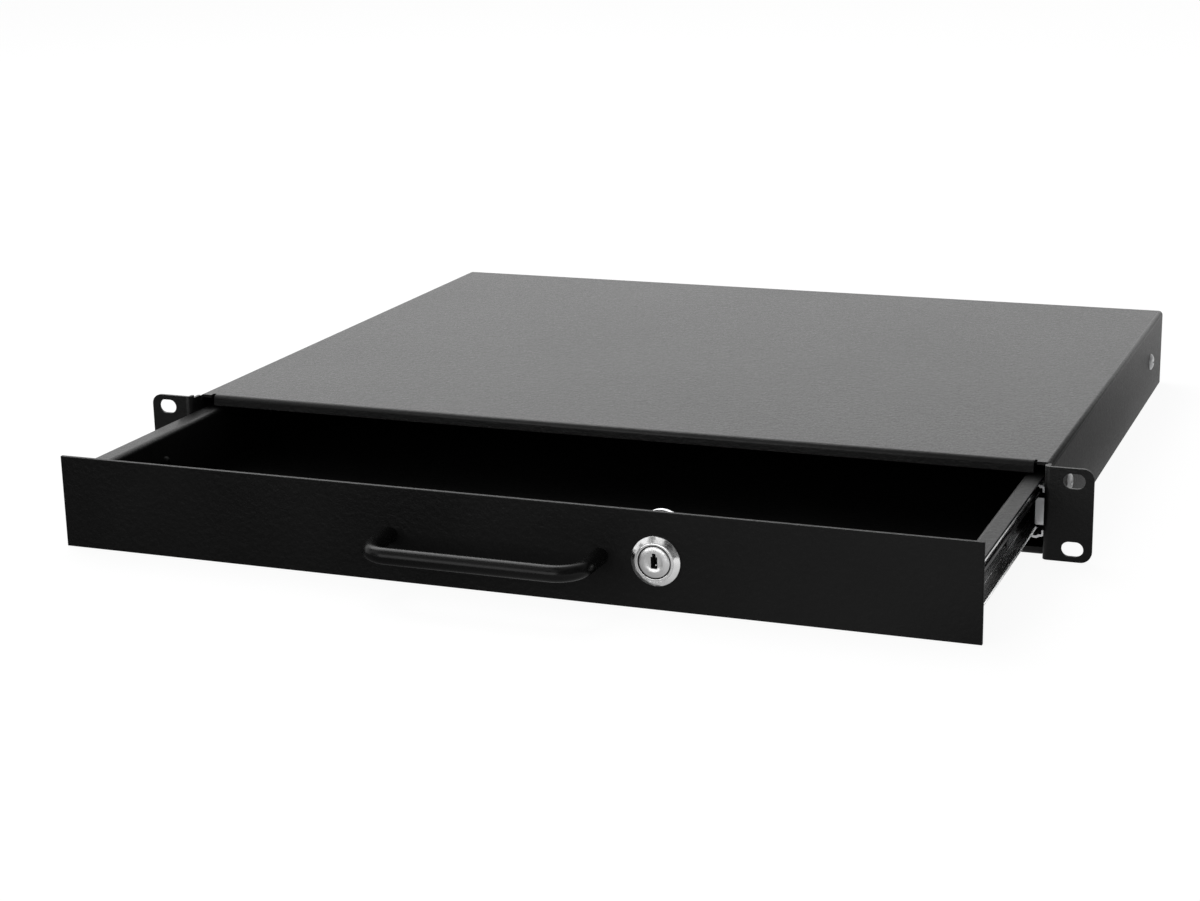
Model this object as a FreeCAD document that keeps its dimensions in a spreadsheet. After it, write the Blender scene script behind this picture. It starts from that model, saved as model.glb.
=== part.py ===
import FreeCAD, Part
import math
import os
import re

import Sketcher
from FreeCAD import Placement, Rotation, Vector

# Sliding rack drawer, one rack unit high: a folded housing with rack ears, and a tray with a front
# panel that runs out of it on two ball bearing slides.  Millimetres.  The origin is the centre of
# the two ears' four slots on the ears' front plane; X is to the right, Y into the rack, Z up.
# Every place below is for the closed drawer.  What rides on the drawer is then drawn forward by
# rest_opening, and the ball cages by half of it, because a ball cage runs at half the speed.

SIZES = (
    # housing
    ("rack_width", 482.6, "over both rack ears"),
    ("ear_height", 43.6, "height of a rack ear"),
    ("ear_reach", 20.8, "rack ear, out from the side wall"),
    ("ear_corner", 5.0, "outer corner radius of a rack ear"),
    ("slot_inset", 8.75, "slot's middle from the ear's end, for slots 465.1 apart"),
    ("slot_edge", 5.925, "slot's middle from the ear's edge, for slots 31.75 apart"),
    ("slot_length", 10.0, "slot, end to end"),
    ("slot_width", 7.0, "slot, across"),
    ("housing_depth", 350.0, "ears' front plane to the back"),
    ("cover_drop", 1.4, "cover under the ears' upper edge"),
    ("foot_drop", 0.2, "underside below the ears' lower edge"),
    ("housing_sheet", 1.5, "sheet of the housing"),
    ("bend_radius", 2.5, "outside radius of the housing's bends"),
    ("cover_setback", 11.8, "cover's front edge behind the ears"),
    ("lip_inset", 8.5, "end of the cover's front lip from the side wall's outside"),
    ("lip_drop", 5.4, "cover's front lip, down"),
    ("relief_width", 1.5, "relief slit at the end of a bend"),
    ("relief_depth", 3.0, "relief slit, past the edge"),
    ("pan_setback", 6.5, "bottom pan behind the ears"),
    ("pan_edge", 4.0, "height of the bottom pan's edge"),
    ("rear_flange", 12.0, "side flange of the rear panel"),
    # drawer
    ("travel", 240.0, "closed to fully open"),
    ("rest_opening", 118.5, "how far open the drawer stands"),
    ("panel_side_gap", 2.75, "panel's end from the side wall's outside"),
    ("panel_rise", 1.7, "panel's upper edge above the cover"),
    ("panel_foot_gap", 0.3, "panel's lower edge above the underside"),
    ("panel_thickness", 2.0, "front panel"),
    ("panel_edge", 0.4, "rounding of the panel's rim"),
    ("tray_sheet", 1.2, "sheet of the tray"),
    ("tray_gap", 0.6, "tray's underside above the bottom pan's edge"),
    ("rim_drop", 1.0, "tray's rim under the cover's lip"),
    ("rim_wall_gap", 2.3, "tray's rim to the side wall"),
    ("rim_bend", 2.2, "outside radius of the rim's bend"),
    # slides
    ("slide_depth", 10.0, "slide, wall to tray"),
    ("slide_height", 25.4, "outer member, up"),
    ("slide_rim_gap", 0.6, "outer member under the tray's rim"),
    ("slide_strip", 1.1, "strip of the members"),
    ("slide_bend", 1.6, "outside radius of a member's corner"),
    ("slide_setback", 4.0, "outer member behind the ears"),
    ("slide_rear_gap", 16.0, "outer member's end before the back"),
    ("flange_fall", 0.7, "flange under the raceway's crown"),
    ("lip_angle", 50.0, "outer raceway's edge, above level"),
    ("tail_angle", 25.0, "inner raceway's edge, past the ball's foot"),
    ("groove_depth", 0.62, "inner raceway, under its flange"),
    ("ball_diameter", 3.5, "ball"),
    ("ball_clearance", 0.06, "between a ball and a raceway"),
    ("ball_offset", 4.0, "ball's centre from the wall"),
    ("cage_strip", 0.6, "strip of the ball cage"),
    ("cage_gap", 0.3, "cage to the outer member's web"),
    ("cage_margin", 6.0, "cage's end to the first ball"),
    ("pocket_clearance", 0.1, "between a ball and its pocket"),
    ("balls_per_row", 6, "balls in one raceway"),
    ("stop_gap", 0.5, "left at each stop"),
    ("front_stop_height", 12.6, "outer member's stop tab, up"),
    ("front_stop_reach", 3.1, "outer member's stop tab, out of its web"),
    ("stop_notch", 2.6, "notch in the web above and below the stop tab, up"),
    ("stop_notch_depth", 8.0, "notch in the web beside the stop tab, along the slide"),
    ("rear_stop_height", 10.0, "inner member's stop tab, up"),
    ("bumper_length", 6.0, "rubber bumper"),
    ("bumper_depth", 6.0, "rubber bumper, out of the web"),
    ("bumper_height", 14.0, "rubber bumper, up"),
    ("screw_front", 55.0, "front wall screw behind the ears"),
    ("screw_rear_inset", 25.5, "rear wall screw from the outer member's end"),
    ("wall_head", 9.0, "wall screw's head, across"),
    ("wall_head_height", 2.0, "wall screw's head, out"),
    ("tray_screw_front", 73.0, "first tray screw behind the ears"),
    ("tray_screw_end", 34.0, "last tray screw from the tray's end"),
    ("thread", 4.0, "thread of every small screw"),
    ("head", 7.6, "pan head, across"),
    ("head_height", 2.4, "pan head, high"),
    ("hole_clearance", 0.2, "around a screw in its hole"),
    ("thread_clearance", 0.02, "around a screw in its thread"),
    # handle
    ("handle_spacing", 100.0, "between the handle's feet"),
    ("handle_rod", 7.5, "rod of the handle"),
    ("handle_reach", 32.0, "handle out of the panel"),
    ("handle_bend", 12.0, "rod's middle in a bend"),
    ("handle_x", 2.0, "handle's middle to the right"),
    ("handle_hole", 9.0, "depth of the tapped hole in a foot"),
    # lock
    ("lock_x", 77.6, "lock's axis to the right"),
    ("lock_drop", 18.5, "lock's axis under the cover's underside"),
    ("bezel_diameter", 22.4, "lock's bezel at the panel"),
    ("bezel_face", 17.6, "lock's bezel at its front"),
    ("bezel_height", 2.6, "lock's bezel out of the panel"),
    ("bezel_edge", 0.8, "straight edge of the bezel"),
    ("barrel_diameter", 18.0, "threaded barrel"),
    ("barrel_flats", 15.6, "across the barrel's flats"),
    ("barrel_end", 29.5, "barrel behind the panel's front"),
    ("plug_diameter", 14.4, "turning plug"),
    ("plug_clearance", 0.06, "between plug and barrel"),
    ("plug_proud", 0.4, "plug's face out of the bezel"),
    ("plug_dish", 1.0, "rounding of the plug's face"),
    ("key_slot_height", 6.8, "key slot, up"),
    ("key_slot_rise", 0.7, "key slot's middle above the lock's axis"),
    ("key_slot_neck", 1.6, "narrow top of the key slot, up"),
    ("key_slot_width", 1.6, "key slot, across at its top"),
    ("key_slot_foot", 3.0, "key slot, across at its foot"),
    ("key_slot_depth", 12.0, "key slot, deep"),
    ("drive_square", 8.0, "square that turns the cam"),
    ("cam_plane", 30.0, "cam behind the panel's front"),
    ("cam_thickness", 2.0, "cam"),
    ("cam_radius", 9.8, "hub and tip of the cam"),
    ("cam_arm", 8.9, "hub's middle to tip's middle"),
    ("cam_angle", 67.5, "unlocked cam, left of upright"),
    ("cam_screw", 5.0, "thread of the cam's screw"),
    ("cam_screw_length", 8.0, "cam screw under its head"),
    ("cam_screw_head", 9.6, "cam screw's head, across"),
    ("washer_thickness", 1.0, "washers of the lock"),
    ("lock_washer", 23.0, "washer under the lock's nut"),
    ("lock_nut_flats", 22.0, "lock's nut across its flats"),
    ("lock_nut_height", 5.0, "lock's nut"),
    ("strike_width", 34.0, "strike plate, across"),
    ("strike_drop", 4.1, "strike plate, under the cover"),
    ("strike_leg", 12.0, "strike plate, along the cover"),
    # panel fixings
    ("stud_inset", 19.0, "outer weld studs from the tray's side"),
    ("stud_inner_x", 120.0, "inner weld studs from the middle"),
    ("stud_length", 10.0, "weld stud"),
    ("nut_flats", 7.0, "small nut across its flats"),
    ("nut_height", 3.2, "small nut"),
)

# Places that follow from the sizes.
PLACES = (
    ("rack_half", "rack_width / 2"),
    ("ear_half", "ear_height / 2"),
    ("slot_x", "rack_half - slot_inset"),
    ("slot_z", "ear_half - slot_edge"),
    ("cover_top", "ear_half - cover_drop"),
    ("housing_foot", "ear_half + foot_drop"),
    ("housing_half", "rack_half - ear_reach"),
    ("wall_inner", "housing_half - housing_sheet"),
    ("inner_bend", "bend_radius - housing_sheet"),
    ("cover_under", "cover_top - housing_sheet"),
    ("lip_half", "housing_half - lip_inset"),
    ("lip_foot", "cover_top - lip_drop"),
    ("pan_top", "pan_edge - housing_foot"),
    ("rear_inner", "housing_depth - housing_sheet"),
    ("panel_half", "housing_half - panel_side_gap"),
    ("panel_foot", "housing_foot - panel_foot_gap"),
    ("panel_height", "cover_top + panel_rise + panel_foot"),
    ("tray_half", "wall_inner - slide_depth"),
    ("tray_foot", "-(pan_top + tray_gap)"),
    ("tray_end", "inner_end"),
    ("tray_front_inner", "panel_thickness + tray_sheet"),
    ("rim_top", "lip_foot - rim_drop"),
    ("rim_half", "wall_inner - rim_wall_gap"),
    ("slide_half", "slide_height / 2"),
    ("slide_centre", "rim_top - tray_sheet - slide_rim_gap - slide_half"),
    ("slide_end", "housing_depth - slide_rear_gap"),
    ("slide_length", "slide_end - slide_setback"),
    ("screw_rear", "slide_end - screw_rear_inset"),
    ("ball_radius", "ball_diameter / 2"),
    ("groove", "ball_radius + ball_clearance"),
    ("groove_back", "groove + slide_strip"),
    ("ball_height", "slide_half - groove_back"),
    ("ball_x", "wall_inner - ball_offset"),
    ("outer_flange", "slide_half - flange_fall"),
    ("inner_flange", "ball_height - groove + groove_depth"),
    ("outer_lip_x", "ball_x - groove_back * cos(lip_angle * 1 deg)"),
    ("outer_lip_z", "ball_height + groove_back * sin(lip_angle * 1 deg)"),
    ("outer_raceway_x", "ball_x + sqrt(groove_back ^ 2 - (outer_flange - ball_height) ^ 2)"),
    ("inner_tail_x", "ball_x + groove * sin(tail_angle * 1 deg)"),
    ("inner_tail_z", "ball_height - groove * cos(tail_angle * 1 deg)"),
    ("inner_raceway_x", "ball_x - sqrt(groove ^ 2 - (ball_height - inner_flange) ^ 2)"),
    ("outer_web_face", "wall_inner - slide_strip"),
    ("inner_start", "panel_thickness + stop_gap"),
    ("bumper_start", "slide_end - stop_gap - bumper_length"),
    ("inner_end", "bumper_start - stop_gap"),
    ("cage_web_face", "outer_web_face - cage_gap"),
    ("cage_edge", "ball_x - ball_radius - cage_strip"),
    ("cage_length", "inner_end - travel - slide_setback - 2 * slide_strip - 2 * stop_gap"),
    ("cage_start", "slide_setback + slide_strip + stop_gap + travel / 2"),
    ("ball_pitch", "(cage_length - 2 * cage_margin) / (balls_per_row - 1)"),
    ("tray_screw_pitch", "(tray_end - tray_screw_end - tray_screw_front) / 2"),
    ("stud_outer_x", "tray_half - stud_inset"),
    ("lock_z", "cover_under - lock_drop"),
    ("barrel_radius", "barrel_diameter / 2"),
    ("plug_radius", "plug_diameter / 2"),
    ("handle_run", "handle_reach - handle_rod / 2"),
    ("strike_plane", "cam_plane - stop_gap"),
)

TOLERANCE = 1e-4
SCREW_SIDES, RING_SIDES = 12, 24
doc = FreeCAD.newDocument("sliding_rack_drawer")


def make_sheet(name, rows):
    """A spreadsheet with one alias a row: its value in column A, its meaning in column B."""
    sheet = doc.addObject("Spreadsheet::Sheet", name)
    for row, (alias, value, meaning) in enumerate(rows, 1):
        sheet.set("A%d" % row, str(value))
        sheet.setAlias("A%d" % row, alias)
        sheet.set("B%d" % row, meaning)
    return sheet


size_names = [name for name, _, _ in SIZES]
place_names = [name for name, _ in PLACES]


def bound(formula):
    """The formula with each name led by the sheet that holds it."""
    def lead(match):
        word = match.group(0)
        if word in size_names:
            return "Sizes." + word
        if word in place_names:
            return "Places." + word
        return word
    return re.sub(r"[a-z][a-z_0-9]*", lead, str(formula))


make_sheet("Sizes", SIZES)
make_sheet("Places", [(name, "=" + bound(formula), "") for name, formula in PLACES])
gauge = doc.addObject("Spreadsheet::Sheet", "Gauge")
doc.recompute()


def number(formula):
    """What a formula of the sheets' names comes to."""
    gauge.set("A1", "=" + bound(formula))
    gauge.recompute()
    return float(gauge.get("A1"))


def bind(item, **formulas):
    """Ties an object's properties to the sheets.  A double underscore stands for a dot."""
    for name, formula in formulas.items():
        item.setExpression(name.replace("__", "."), bound(formula))
    return item


# ---------------------------------------------------------------- sketches and features

def new_body(label):
    body = doc.addObject("PartDesign::Body", label)
    body.Label = label
    return body


def new_sketch(body, plane, x="0", y="0", depth="0"):
    """A sketch on one of the body's origin planes, moved along the plane and off it."""
    sketch = body.newObject("Sketcher::SketchObject", "Sketch")
    origin_plane = [item for item in body.Origin.OriginFeatures if item.Role == plane][0]
    sketch.AttachmentSupport = [(origin_plane, "")]
    sketch.MapMode = "FlatFace"
    bind(sketch, AttachmentOffset__Base__x=x, AttachmentOffset__Base__y=y,
         AttachmentOffset__Base__z=depth)
    return sketch


def pin_point(sketch, item, place, x, y):
    """Fixes one point of a sketch's item at (x, y)."""
    for kind, formula in (("DistanceX", x), ("DistanceY", y)):
        index = sketch.addConstraint(
            Sketcher.Constraint(kind, -1, 1, item, place, number(formula)))
        sketch.setExpression("Constraints[%d]" % index, bound(formula))


def pin_value(sketch, kind, item, formula):
    index = sketch.addConstraint(Sketcher.Constraint(kind, item, number(formula)))
    sketch.setExpression("Constraints[%d]" % index, bound(formula))


def draw_polygon(sketch, corners):
    """A closed outline through corners given as formulas."""
    points = [Vector(number(x), number(y), 0) for x, y in corners]
    first = sketch.GeometryCount
    count = len(points)
    for index, point in enumerate(points):
        sketch.addGeometry(Part.LineSegment(point, points[(index + 1) % count]), False)
    for index, (x, y) in enumerate(corners):
        following = first + (index + 1) % count
        sketch.addConstraint(Sketcher.Constraint("Coincident", first + index, 2, following, 1))
        pin_point(sketch, first + index, 1, x, y)
    return sketch


def draw_box(sketch, left, right, low, high):
    return draw_polygon(sketch, ((left, low), (right, low), (right, high), (left, high)))


def draw_path(sketch, points, arcs):
    """An open line through points given as formulas.

    arcs gives, for each stretch that is an arc, its radius and 1 for a turn to the left along the
    path or -1 for one to the right.
    """
    places = [Vector(number(x), number(y), 0) for x, y in points]
    ends = []
    for index, (start, end) in enumerate(zip(places, places[1:])):
        if index not in arcs:
            item = sketch.addGeometry(Part.LineSegment(start, end), False)
            ends.append((item, 1, 2))
            continue
        radius, turn = arcs[index]
        chord = end - start
        across = Vector(-chord.y, chord.x, 0).normalize()
        bulge = number(radius) - math.sqrt(number(radius) ** 2 - (chord.Length / 2) ** 2)
        middle = (start + end) * 0.5 - across * (bulge * turn)
        item = sketch.addGeometry(Part.Arc(start, middle, end), False)
        forward = (sketch.getPoint(item, 1) - start).Length < (sketch.getPoint(item, 2) - start).Length
        ends.append((item, 1, 2) if forward else (item, 2, 1))
        pin_value(sketch, "Radius", item, radius)
    for (item, _, last), (following, first, _) in zip(ends, ends[1:]):
        sketch.addConstraint(Sketcher.Constraint("Coincident", item, last, following, first))
    for (item, first, _), (x, y) in zip(ends, points):
        pin_point(sketch, item, first, x, y)
    pin_point(sketch, ends[-1][0], ends[-1][2], *points[-1])
    return sketch


def draw_circle(sketch, x, y, radius):
    circle = Part.Circle(Vector(number(x), number(y), 0), Vector(0, 0, 1), number(radius))
    item = sketch.addGeometry(circle, False)
    pin_point(sketch, item, 3, x, y)
    pin_value(sketch, "Radius", item, radius)
    return sketch


def draw_stadium(sketch, x, y, reach, radius, upright=False):
    """A slot round (x, y) whose end circles lie reach to each side of it."""
    middle = Vector(number(x), number(y), 0)
    span, round_end = number(reach), number(radius)
    turn = math.pi / 2 if upright else 0.0
    along = Vector(math.cos(turn), math.sin(turn), 0)
    across = Vector(-along.y, along.x, 0)
    first = sketch.GeometryCount
    for side in (1, -1):
        centre = middle + along * (span * side)
        start = turn - math.pi / 2 if side > 0 else turn + math.pi / 2
        sketch.addGeometry(Part.ArcOfCircle(Part.Circle(centre, Vector(0, 0, 1), round_end),
                                            start, start + math.pi), False)
    for side in (1, -1):
        edge = across * (round_end * side)
        sketch.addGeometry(Part.LineSegment(middle + along * (span * side) + edge,
                                            middle - along * (span * side) + edge), False)
    for arc, point, line, end in ((0, 2, 2, 1), (1, 1, 2, 2), (1, 2, 3, 1), (0, 1, 3, 2)):
        sketch.addConstraint(Sketcher.Constraint("Tangent", first + arc, point, first + line, end))
    for arc, sign in ((0, "+"), (1, "-")):
        shift = "(%s) %s (%s)" % (y if upright else x, sign, reach)
        pin_point(sketch, first + arc, 3, x if upright else shift, shift if upright else y)
    pin_value(sketch, "Radius", first, radius)
    return sketch


def extrude(body, kind, sketch, length, reverse=False):
    """A Pad or Pocket of the sketch, and a look that it changed the body the right way."""
    before = body.Shape.Volume if body.Tip else 0.0
    feature = body.newObject("PartDesign::" + kind, kind)
    feature.Profile = sketch
    feature.Reversed = reverse
    if length == "through":
        feature.Type = "ThroughAll"
        feature.Midplane = True
    else:
        bind(feature, Length=length)
    doc.recompute()
    gained = feature.Shape.Volume - before
    if (kind == "Pad") != (gained > 0) or gained == 0:
        raise RuntimeError("%s of %s changes nothing" % (kind, body.Label))
    return feature


def pad(body, sketch, length, reverse=False):
    return extrude(body, "Pad", sketch, length, reverse)


def pocket(body, sketch, length, reverse=False):
    return extrude(body, "Pocket", sketch, length, reverse)


def revolve(body, sketch, axis="H_Axis"):
    feature = body.newObject("PartDesign::Revolution", "Revolution")
    feature.Profile = sketch
    feature.ReferenceAxis = (sketch, [axis])
    feature.Angle = 360
    doc.recompute()
    return feature


def near(first, second):
    return abs(first - second) < TOLERANCE


def edges_at(body, **places):
    """Names of the tip's straight edges that lie at each given x, y or z from end to end.

    A place is one formula, or several of which any will do.
    """
    wanted = {axis: [number(item) for item in (value if isinstance(value, tuple) else (value,))]
              for axis, value in places.items()}
    names = []
    for index, edge in enumerate(body.Tip.Shape.Edges, 1):
        if not isinstance(edge.Curve, (Part.Line, Part.LineSegment)):
            continue
        ends = [vertex.Point for vertex in edge.Vertexes]
        if all(any(all(near(getattr(end, axis), place) for end in ends) for place in values)
               for axis, values in wanted.items()):
            names.append("Edge%d" % index)
    if not names:
        raise RuntimeError("%s has no edge at %s" % (body.Label, places))
    return names


def fillet(body, names, radius):
    base = body.Tip
    feature = body.newObject("PartDesign::Fillet", "Fillet")
    feature.Base = (base, names)
    bind(feature, Radius=radius)
    doc.recompute()
    return feature


def ride(item, share="1"):
    """Draws a closed drawer's piece forward to where it rests."""
    return bind(item, Placement__Base__y="-rest_opening * (%s)" % share)


def mirrored(source, label):
    copy = doc.addObject("Part::Mirroring", label)
    copy.Label = label
    copy.Source = source
    copy.Normal = Vector(1, 0, 0)
    return copy


def cut_all(label, base, tools):
    """The base less each tool."""
    union = doc.addObject("Part::MultiFuse", label + "_tools") if len(tools) > 1 else tools[0]
    if len(tools) > 1:
        union.Shapes = tools
    result = doc.addObject("Part::Cut", label)
    result.Label = label
    result.Base = base
    result.Tool = union
    return result


def fuse_all(label, pieces):
    result = doc.addObject("Part::MultiFuse", label)
    result.Label = label
    result.Shapes = pieces
    return result


def group(label, pieces):
    result = doc.addObject("Part::Compound", label)
    result.Label = label
    result.Links = pieces
    return result


def block(name, x, y, z, width, depth, height):
    """A box whose low corner is (x, y, z)."""
    box = doc.addObject("Part::Box", name)
    return bind(box, Placement__Base__x=x, Placement__Base__y=y, Placement__Base__z=z,
                Length=width, Width=depth, Height=height)


TURNS = {"X": Rotation(Vector(0, 1, 0), 90), "-X": Rotation(Vector(0, 1, 0), -90),
         "Y": Rotation(Vector(1, 0, 0), -90)}


def bar_along(axis, name, x, y, z, radius, length):
    """A cylinder from (x, y, z) along the axis."""
    bar = doc.addObject("Part::Cylinder", name)
    bar.Placement = Placement(Vector(), TURNS[axis])
    return bind(bar, Placement__Base__x=x, Placement__Base__y=y, Placement__Base__z=z,
                Radius=radius, Height=length)


def flat_bar(axis, name, x, y, z, radius, length, sides=SCREW_SIDES):
    """A bar from (x, y, z) along the axis with flat sides and its corners at the radius."""
    bar = doc.addObject("Part::Prism", name)
    bar.Polygon = sides
    bar.Placement = Placement(Vector(), TURNS[axis])
    return bind(bar, Placement__Base__x=x, Placement__Base__y=y, Placement__Base__z=z,
                Circumradius=radius, Height=length)


# ---------------------------------------------------------------- housing

def make_housing_shell():
    """Cover, side walls, front lip and rack ears, folded from one sheet."""
    body = new_body("housing_shell")
    section = new_sketch(body, "XZ_Plane", depth="-cover_setback")
    draw_polygon(section, (("-housing_half", "-housing_foot"), ("-housing_half", "cover_top"),
                           ("housing_half", "cover_top"), ("housing_half", "-housing_foot"),
                           ("wall_inner", "-housing_foot"), ("wall_inner", "cover_under"),
                           ("-wall_inner", "cover_under"), ("-wall_inner", "-housing_foot")))
    pad(body, section, "housing_depth - cover_setback", reverse=True)
    fillet(body, edges_at(body, x=("housing_half", "-housing_half"), z="cover_top"), "bend_radius")
    fillet(body, edges_at(body, x=("wall_inner", "-wall_inner"), z="cover_under"), "inner_bend")

    ears = new_sketch(body, "XY_Plane", depth="-ear_half")
    for side in ("", "-"):
        draw_polygon(ears, [(side + x, y) for x, y in (
            ("wall_inner", "0"), ("rack_half", "0"), ("rack_half", "housing_sheet"),
            ("housing_half", "housing_sheet"), ("housing_half", "cover_setback"),
            ("wall_inner", "cover_setback"))])
    pad(body, ears, "ear_height")
    strip_top = new_sketch(body, "YZ_Plane")
    draw_polygon(strip_top, (("bend_radius + relief_width", "cover_top"),
                             ("cover_setback - relief_width", "cover_top"),
                             ("cover_setback - relief_width", "cover_under - inner_bend"),
                             ("cover_setback", "cover_under - inner_bend"),
                             ("cover_setback", "ear_height"),
                             ("bend_radius + relief_width", "ear_height")))
    pocket(body, strip_top, "through")
    foot_relief = new_sketch(body, "YZ_Plane")
    draw_box(foot_relief, "bend_radius", "bend_radius + relief_width", "-ear_height",
             "relief_width - ear_half")
    pocket(body, foot_relief, "through")
    fillet(body, edges_at(body, x=("wall_inner", "-wall_inner"), y="0"), "bend_radius")
    fillet(body, edges_at(body, x=("housing_half", "-housing_half"), y="housing_sheet"),
           "inner_bend")
    fillet(body, edges_at(body, x=("rack_half", "-rack_half"), z=("ear_half", "-ear_half")),
           "ear_corner")

    lip = new_sketch(body, "XZ_Plane", depth="-cover_setback")
    draw_box(lip, "-lip_half", "lip_half", "lip_foot", "cover_under")
    pad(body, lip, "housing_sheet", reverse=True)
    slits = new_sketch(body, "XY_Plane", depth="lip_foot")
    for side in ("", "-"):
        draw_polygon(slits, [(side + x, y) for x, y in (
            ("lip_half", "0"), ("(lip_half + relief_width)", "0"),
            ("(lip_half + relief_width)", "cover_setback + relief_depth"),
            ("lip_half", "cover_setback + relief_depth"))])
    pocket(body, slits, "lip_drop + relief_width", reverse=True)
    fillet(body, [name for name in edges_at(body, y="cover_setback", z="cover_top")
                  if near(abs(body.Tip.Shape.getElement(name).Vertexes[0].X), number("lip_half"))],
           "bend_radius")
    fillet(body, edges_at(body, y="cover_setback + housing_sheet", z="cover_under"), "inner_bend")

    slots = new_sketch(body, "XZ_Plane")
    for side in ("", "-"):
        for level in ("", "-"):
            draw_stadium(slots, side + "slot_x", level + "slot_z",
                         "(slot_length - slot_width) / 2", "slot_width / 2")
    pocket(body, slots, "housing_sheet")
    holes = new_sketch(body, "YZ_Plane")
    for place in ("screw_front", "screw_rear"):
        draw_circle(holes, place, "slide_centre", "thread / 2 + hole_clearance")
    pocket(body, holes, "through")
    return body


def make_bottom_pan():
    """Shallow pan that closes the housing from below."""
    body = new_body("bottom_pan")
    outline = new_sketch(body, "XY_Plane", depth="-housing_foot")
    draw_box(outline, "-wall_inner", "wall_inner", "pan_setback", "rear_inner")
    pad(body, outline, "pan_edge")
    hollow = new_sketch(body, "XY_Plane", depth="pan_top")
    draw_box(hollow, "housing_sheet - wall_inner", "wall_inner - housing_sheet",
             "pan_setback + housing_sheet", "rear_inner - housing_sheet")
    pocket(body, hollow, "pan_edge - housing_sheet")
    fillet(body, edges_at(body, z="-housing_foot"), "bend_radius")
    return body


def make_rear_panel():
    """Back of the housing, with a flange down each side wall."""
    body = new_body("rear_panel")
    outline = new_sketch(body, "XY_Plane", depth="-housing_foot")
    draw_box(outline, "-wall_inner", "wall_inner", "rear_inner", "housing_depth")
    pad(body, outline, "cover_under + housing_foot")
    flanges = new_sketch(body, "XY_Plane", depth="pan_top + stop_gap")
    for side in ("", "-"):
        draw_polygon(flanges, [(side + x, y) for x, y in (
            ("(wall_inner - housing_sheet)", "rear_inner - rear_flange"),
            ("wall_inner", "rear_inner - rear_flange"), ("wall_inner", "rear_inner"),
            ("(wall_inner - housing_sheet)", "rear_inner"))])
    pad(body, flanges, "cover_under - inner_bend - pan_top - stop_gap")
    fillet(body, edges_at(body, x=("wall_inner - housing_sheet", "housing_sheet - wall_inner"),
                          y="rear_inner"), "inner_bend")
    return body


def make_lock_strike():
    """Angle under the cover that the lock's cam turns up behind."""
    body = new_body("lock_strike")
    section = new_sketch(body, "YZ_Plane", depth="lock_x - strike_width / 2")
    draw_polygon(section, (("strike_plane", "cover_under"),
                           ("strike_plane", "cover_under - strike_drop"),
                           ("strike_plane - housing_sheet", "cover_under - strike_drop"),
                           ("strike_plane - housing_sheet", "cover_under - housing_sheet"),
                           ("strike_plane - strike_leg", "cover_under - housing_sheet"),
                           ("strike_plane - strike_leg", "cover_under")))
    pad(body, section, "strike_width")
    fillet(body, edges_at(body, y="strike_plane", z="cover_under"), "inner_bend")
    return body


# ---------------------------------------------------------------- fasteners

# The small fasteners repeat, so their round parts have flat sides.

def pan_screw(name, axis, x, y, z, length, shank="thread", head="head", head_height="head_height"):
    """A screw whose shank runs from under its head at (x, y, z) along the axis."""
    back = {"X": "-X", "-X": "X"}[axis]
    return fuse_all(name, [flat_bar(axis, name + "_shank", x, y, z, "%s / 2" % shank, length),
                           flat_bar(back, name + "_head", x, y, z, "%s / 2" % head, head_height)])


def back_screw(name, x, y, z, length, shank="thread", head="head", head_height="head_height"):
    """A screw that points forward, with its head behind (x, y, z)."""
    return fuse_all(name, [flat_bar("Y", name + "_shank", x, "(%s) - (%s)" % (y, length), z,
                                    "%s / 2" % shank, length),
                           flat_bar("Y", name + "_head", x, y, z, "%s / 2" % head, head_height)])


def ring(name, x, y, z, outer, inner, length):
    """A washer round an axis along Y."""
    return cut_all(name, flat_bar("Y", name + "_disc", x, y, z, outer, length, RING_SIDES),
                   [flat_bar("Y", name + "_hole", x, y, z, inner, length, RING_SIDES)])


def hexagon_nut(name, x, y, z, flats, length, bore):
    """A hexagon nut round an axis along Y."""
    return cut_all(name, flat_bar("Y", name + "_hexagon", x, y, z, "%s / 2 / cos(30 deg)" % flats,
                                  length, 6), [bore])


def drawn_forward(label, item, share="1"):
    """A compound of the piece, moved from the closed drawer to where it rests."""
    moved = group(label, item if isinstance(item, list) else [item])
    return ride(moved, share)


# ---------------------------------------------------------------- slides

def rolled_channel(name, lip, raceway_x, flange, web, bend, turns, start, length):
    """A roll formed channel with a raceway along each flange.

    Its outline runs from the upper raceway's edge round the ball, along the flange, round the
    corner and down the web, and the same way back below.  The strip lies inside the outline.
    """
    upper = (lip, (raceway_x, flange), (bend, flange), (web, "%s - slide_bend" % flange))
    lower = [(x, "-(%s)" % z) for x, z in reversed(upper)]
    outline = doc.addObject("Sketcher::SketchObject", name + "_outline")
    outline.Placement = Placement(Vector(), Rotation(Vector(1, 0, 0), 90))
    bind(outline, Placement__Base__y=start, Placement__Base__z="slide_centre")
    raceway, corner = turns
    radius = "groove_back" if raceway == corner else "groove"
    draw_path(outline, list(upper) + lower, {0: (radius, raceway), 2: ("slide_bend", corner),
                                             4: ("slide_bend", corner), 6: (radius, raceway)})
    face = doc.addObject("Part::Offset2D", name + "_face")
    face.Source = outline
    face.Fill = True
    face.Mode = "Skin"
    face.Join = "Intersection"
    bind(face, Value="slide_strip" if corner > 0 else "-slide_strip")
    channel = doc.addObject("Part::Extrusion", name + "_channel")
    channel.Base = face
    channel.DirMode = "Custom"
    channel.Dir = Vector(0, 1, 0)
    channel.Solid = True
    return bind(channel, LengthFwd=length)


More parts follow.
